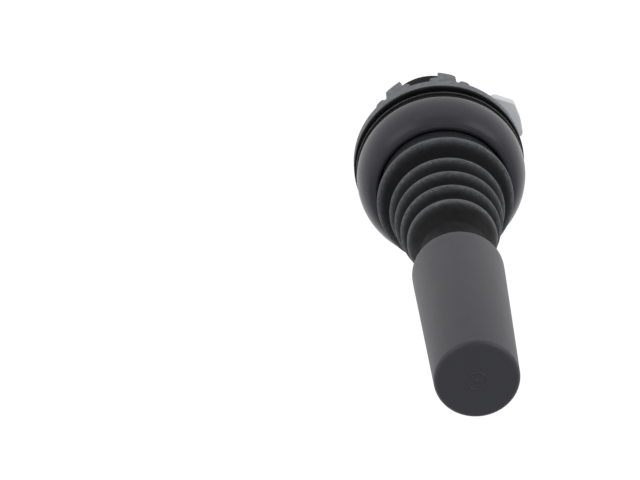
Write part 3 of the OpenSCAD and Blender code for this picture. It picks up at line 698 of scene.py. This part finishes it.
class JOYSTICK_OT_lock(JoystickOperator, bpy.types.Operator):
    """Ribbed mounting collar and the pale locking lever behind it"""

    bl_idname = "joystick.lock"
    bl_label = "Locking lever"

    def execute(self, context):
        sizes = self.sizes(context)
        low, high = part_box("mounting_collar")
        edge, back, front = high.x / MM, low.z / MM, high.z / MM
        bore, face, ribs, rib_half = 11.02, edge - 0.3, 24, 0.5
        corners = [(bore, front, 0), (face, front, 0.3), (face, back, 0.3), (bore, back, 0)]
        bm = turned(rounded(corners, 3), sizes.around)
        for rib in range(ribs):
            bar = block((face - 0.3, -rib_half, back + 0.5), (edge - 0.02, rib_half, front - 0.5), 0.15)
            added(bm, clockwise(bar, 360 / ribs * rib))
        piece(bm, "mounting_collar_ring", self.finish(context, "housing_finish"), "head", ["mounting_collar"])

        low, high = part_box("locking_lever")
        back, front = low.z / MM, high.z / MM
        bore, ring, thumb_angle, thumb_thickness = 11.05, 13.6, 64, 2.58
        corners = [(bore, front, 0), (ring, front, 0.3), (ring, back, 0.3), (bore, back, 0)]
        bm = turned(rounded(corners, 3), sizes.around)
        outline = rounded([
            (12.2, -5.3, 0), (18.5, -5.3, 1.1), (19.5, -1.2, 5), (19.6, 2.25, 0.9), (16.4, 5.4, 1.2),
            (12.2, 5.4, 0),
        ], 6)
        thumb = pushed_out([(x, y, back + 0.01) for x, y in outline], (0, 0, thumb_thickness))
        bmesh.ops.recalc_face_normals(thumb, faces=thumb.faces)
        soften(thumb, sharp_edges(thumb), 0.22, 3)
        added(bm, clockwise(thumb, thumb_angle))
        piece(bm, "locking_lever_moulding", self.finish(context, "lock_finish"), "lock", ["locking_lever"])
        return {"FINISHED"}


class JOYSTICK_OT_springs(JoystickOperator, bpy.types.Operator):
    """Return spring and plunger springs"""

    bl_idname = "joystick.springs"
    bl_label = "Springs"

    def execute(self, context):
        steel = self.finish(context, "wire_finish")
        low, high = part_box("return_spring")
        radius, wire, turns = 2.775, 0.32, 5
        bm = wound(radius, wire, low.z / MM + wire, high.z / MM - wire, turns)
        piece(bm, "return_spring_coil", steel, "head", ["return_spring"])
        radius, wire, turns, circle = 1.85, 0.22, 7, 4.9
        for side, angle in (("north", 0), ("east", 90), ("south", 180), ("west", 270)):
            low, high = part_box("spring_" + side)
            bm = wound(radius, wire, low.z / MM + wire, high.z / MM - wire, turns)
            bmesh.ops.translate(bm, verts=bm.verts, vec=(circle * MM, 0, 0))
            ends = [(0, 0, low.z + 2 * wire * MM), (0, 0, high.z - 2 * wire * MM)]
            piece(
                clockwise(bm, angle), "spring_coil_" + side, steel, replaces=["spring_" + side],
                blend=("head", "plunger_" + side, *ends),
            )
        return {"FINISHED"}


class JOYSTICK_OT_inside(JoystickOperator, bpy.types.Operator):
    """Finishes of the pieces inside the head"""

    bl_idname = "joystick.inside"
    bl_label = "Inside pieces"

    finish_of = {
        "steel_finish": [
            "lever_shaft", "gate_plate", "gate_screws", "outer_pivot_pins", "inner_pivot_pins", "hub_pin",
            "rocker_plate", "rocker_screw",
        ],
        "wire_finish": ["shaft_clip", "collar_clip", "rear_clip"],
        "zinc_finish": ["gimbal_ring", "lever_hub"],
        "brass_finish": ["handle_insert"],
        "acetal_finish": ["plunger_guide", "plunger_north", "plunger_south", "plunger_east", "plunger_west"],
        "housing_finish": ["neck_bush", "spacer_sleeve", "rear_cover"],
        "seal_finish": ["bezel_seal"],
    }

    def execute(self, context):
        for name, nodes in self.finish_of.items():
            for node in nodes:
                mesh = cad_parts[node].data
                mesh.materials.clear()
                mesh.materials.append(self.finish(context, name))
        return {"FINISHED"}


class JOYSTICK_OT_stage(JoystickOperator, bpy.types.Operator):
    """Pale floor, soft lamps and the camera"""

    bl_idname = "joystick.stage"
    bl_label = "Stage"

    lamps = [
        ("lamp_upper_left", (-0.45, 0.45, 0.20), 0.4, 0.60),
        ("lamp_upper_right", (0.45, 0.45, 0.20), 0.4, 0.75),
        ("lamp_left", (-0.55, 0.10, 0.22), 0.5, 0.25),
        ("lamp_right", (0.55, 0.10, 0.22), 0.5, 0.20),
    ]
    lamp_target = Vector((0, 0, 0.02))
    floor_size, floor_gap = 3, 0.0002
    lens, sensor = 95.6, 36
    camera_place, camera_view = (-0.02697, 0.13768, 0.3334), (0.00418, -0.41875, -0.90809)
    camera_up = (0, 0.90810, -0.41875)

    def execute(self, context):
        scene = context.scene
        self.lay_floor(scene)
        self.light_world(scene)
        self.hang_lamps(scene)
        self.place_camera(scene)
        scene.view_settings.view_transform = "Standard"
        return {"FINISHED"}

    def lay_floor(self, scene):
        """A pale floor that camera and glossy rays see as bright paper, with the object's shadow on it."""
        bm = bmesh.new()
        place = Matrix.Translation((0, 0, CAD_LOW.z - self.floor_gap))
        bmesh.ops.create_grid(bm, x_segments=1, y_segments=1, size=self.floor_size, matrix=place)
        mesh = bpy.data.meshes.new("floor")
        bm.to_mesh(mesh)
        bm.free()
        floor = bpy.data.objects.new("floor", mesh)
        scene.collection.objects.link(floor)
        material = bpy.data.materials.new("floor_paper")
        material.use_nodes = True
        nodes, links = material.node_tree.nodes, material.node_tree.links
        paper = nodes["Principled BSDF"]
        paper.inputs["Base Color"].default_value = (0.85, 0.85, 0.86, 1)
        paper.inputs["Roughness"].default_value = 0.9
        glow = nodes.new("ShaderNodeEmission")
        glow.inputs["Strength"].default_value = 1.10
        ray = nodes.new("ShaderNodeLightPath")
        seen = nodes.new("ShaderNodeMath")
        seen.operation = "ADD"
        seen.use_clamp = True
        share = nodes.new("ShaderNodeMath")
        share.operation = "MULTIPLY"
        share.inputs[1].default_value = 0.9
        mix = nodes.new("ShaderNodeMixShader")
        links.new(ray.outputs["Is Camera Ray"], seen.inputs[0])
        links.new(ray.outputs["Is Glossy Ray"], seen.inputs[1])
        links.new(seen.outputs[0], share.inputs[0])
        links.new(share.outputs[0], mix.inputs[0])
        links.new(paper.outputs[0], mix.inputs[1])
        links.new(glow.outputs[0], mix.inputs[2])
        links.new(mix.outputs[0], nodes["Material Output"].inputs["Surface"])
        mesh.materials.append(material)

    def light_world(self, scene):
        """Soft light from all sides, and plain white behind the object for camera rays."""
        world = bpy.data.worlds.new("studio")
        scene.world = world
        world.use_nodes = True
        nodes, links = world.node_tree.nodes, world.node_tree.links
        soft = nodes["Background"]
        soft.inputs["Color"].default_value = (0.94, 0.96, 1.0, 1)
        soft.inputs["Strength"].default_value = 0.58
        white = nodes.new("ShaderNodeBackground")
        white.inputs["Color"].default_value = (1, 1, 1, 1)
        white.inputs["Strength"].default_value = 1.0
        ray = nodes.new("ShaderNodeLightPath")
        mix = nodes.new("ShaderNodeMixShader")
        links.new(ray.outputs["Is Camera Ray"], mix.inputs[0])
        links.new(soft.outputs[0], mix.inputs[1])
        links.new(white.outputs[0], mix.inputs[2])
        links.new(mix.outputs[0], nodes["World Output"].inputs["Surface"])

    def hang_lamps(self, scene):
        """Square lamps with a name, a place, a width and a power, all aimed at one point on the axis."""
        for name, place, size, power in self.lamps:
            data = bpy.data.lights.new(name, "AREA")
            data.size = size
            data.energy = power
            lamp = bpy.data.objects.new(name, data)
            lamp.location = place
            lamp.rotation_mode = "QUATERNION"
            lamp.rotation_quaternion = (self.lamp_target - Vector(place)).to_track_quat("-Z", "Y")
            scene.collection.objects.link(lamp)

    def place_camera(self, scene):
        """A camera that looks down on the handle's face, with the nib at the top."""
        camera = bpy.data.objects.new("camera", bpy.data.cameras.new("camera"))
        camera.data.sensor_width = self.sensor
        camera.data.lens = self.lens
        camera.data.clip_start, camera.data.clip_end = 0.01, 20
        back = -Vector(self.camera_view).normalized()
        right = Vector(self.camera_up).cross(back).normalized()
        turn = Matrix((right, back.cross(right), back)).transposed().to_4x4()
        camera.matrix_world = Matrix.Translation(self.camera_place) @ turn
        scene.collection.objects.link(camera)
        scene.camera = camera


class JOYSTICK_PT_panel(bpy.types.Panel):
    """Sidebar panel of the joystick"""

    bl_label = "Panel Joystick"
    bl_idname = "JOYSTICK_PT_panel"
    bl_space_type = "VIEW_3D"
    bl_region_type = "UI"
    bl_category = "Joystick"

    def draw(self, context):
        layout = self.layout
        for group in (context.scene.joystick_sizes, context.scene.joystick_colours):
            box = layout.box()
            for name in group.__annotations__:
                box.prop(group, name)
        for operator in OPERATORS:
            layout.operator(operator.bl_idname)


OPERATORS = (
    JOYSTICK_OT_stage,
    JOYSTICK_OT_handle,
    JOYSTICK_OT_boot,
    JOYSTICK_OT_bezel,
    JOYSTICK_OT_housing,
    JOYSTICK_OT_ring_nut,
    JOYSTICK_OT_lock,
    JOYSTICK_OT_springs,
    JOYSTICK_OT_inside,
)
CLASSES = (JoystickColours, JoystickSizes, *OPERATORS, JOYSTICK_PT_panel)


def register():
    for cls in CLASSES:
        bpy.utils.register_class(cls)
    bpy.types.Scene.joystick_colours = PointerProperty(type=JoystickColours)
    bpy.types.Scene.joystick_sizes = PointerProperty(type=JoystickSizes)


def unregister():
    del bpy.types.Scene.joystick_sizes
    del bpy.types.Scene.joystick_colours
    for cls in reversed(CLASSES):
        bpy.utils.unregister_class(cls)


def main():
    register()
    for operator in OPERATORS:
        group, name = operator.bl_idname.split(".")
        getattr(getattr(bpy.ops, group), name)()


if __name__ == "__main__":
    main()
